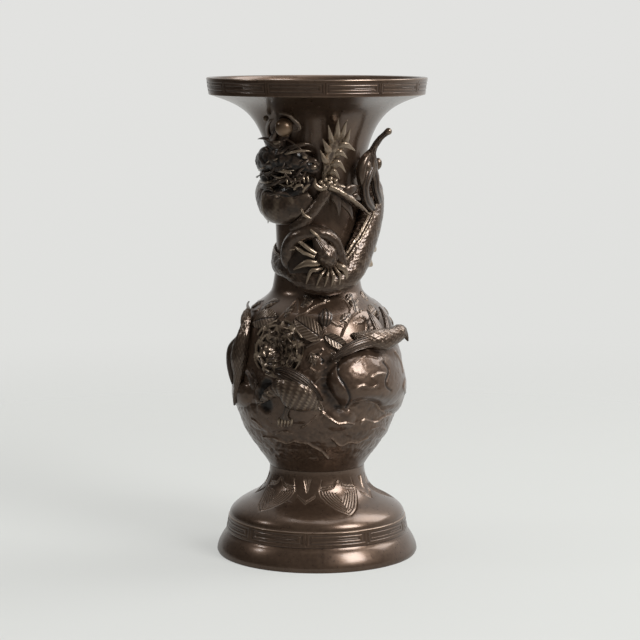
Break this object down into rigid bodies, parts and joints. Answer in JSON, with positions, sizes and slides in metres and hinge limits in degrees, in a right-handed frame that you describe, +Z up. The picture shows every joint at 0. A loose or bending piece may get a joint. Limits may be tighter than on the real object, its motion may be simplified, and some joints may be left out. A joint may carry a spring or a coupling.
{
  "type": "bronze vase",
  "caption": "Bronze vase with a trumpet neck, round body and bell foot, a dragon round the neck and birds over rocks; it holds flowers.",
  "frame": {"origin": "centre of the standing face of the foot", "axes": "+Z up, -Y towards the front, +X to the right"},
  "size_m": [0.21, 0.2112, 0.46],
  "materials": {
    "patina_bronze": "brown patina, softly polished on the high places",
    "pearl_bronze": "golden polished bronze",
    "rivet_copper": "dull copper"
  },
  "bodies": {
    "root": {"back_leaf_left": "patina_bronze", "back_leaf_left_rivet": "rivet_copper", "back_leaf_right": "patina_bronze", "back_leaf_right_rivet": "rivet_copper", "base_plate": "patina_bronze", "body_casting": "patina_bronze", "broad_leaf": "patina_bronze", "broad_leaf_rivet": "rivet_copper", "dragon_head": "patina_bronze", "dragon_head_rivet_1": "rivet_copper", "dragon_head_rivet_2": "rivet_copper", "dragon_horn_left": "patina_bronze", "dragon_horn_right": "patina_bronze", "dragon_lower_coil": "patina_bronze", "dragon_lower_coil_rivet_1": "rivet_copper", "dragon_lower_coil_rivet_2": "rivet_copper", "dragon_mane": "patina_bronze", "dragon_mane_rivet": "rivet_copper", "dragon_tail": "patina_bronze", "dragon_tail_rivet": "rivet_copper", "dragon_upper_coil": "patina_bronze", "dragon_upper_coil_rivet_1": "rivet_copper", "dragon_upper_coil_rivet_2": "rivet_copper", "dragon_whisker_lower": "patina_bronze", "dragon_whisker_upper": "patina_bronze", "foot_casting": "patina_bronze", "foot_rivet_1": "rivet_copper", "foot_rivet_2": "rivet_copper", "foot_rivet_3": "rivet_copper", "foot_rivet_4": "rivet_copper", "front_haunch": "patina_bronze", "front_haunch_rivet_1": "rivet_copper", "front_haunch_rivet_2": "rivet_copper", "left_leaf": "patina_bronze", "left_leaf_rivet": "rivet_copper", "narrow_leaf": "patina_bronze", "narrow_leaf_rivet": "rivet_copper", "neck_casting": "patina_bronze", "pearl": "pearl_bronze", "pearl_paw": "patina_bronze", "pearl_paw_rivet": "rivet_copper", "peony_bloom": "patina_bronze", "peony_bloom_rivet": "rivet_copper", "peony_bud": "patina_bronze", "peony_bud_rivet": "rivet_copper", "perched_bird": "patina_bronze", "perched_bird_rivet_1": "rivet_copper", "perched_bird_rivet_2": "rivet_copper", "pheasant": "patina_bronze", "pheasant_rivet": "rivet_copper", "reaching_foreleg": "patina_bronze", "reaching_foreleg_rivet": "rivet_copper", "rear_haunch": "patina_bronze", "rear_haunch_rivet": "rivet_copper", "rock_bird": "patina_bronze", "rock_bird_rivet": "rivet_copper", "wrist_flame": "patina_bronze", "wrist_flame_rivet": "rivet_copper"}
  },
  "joints": []
}
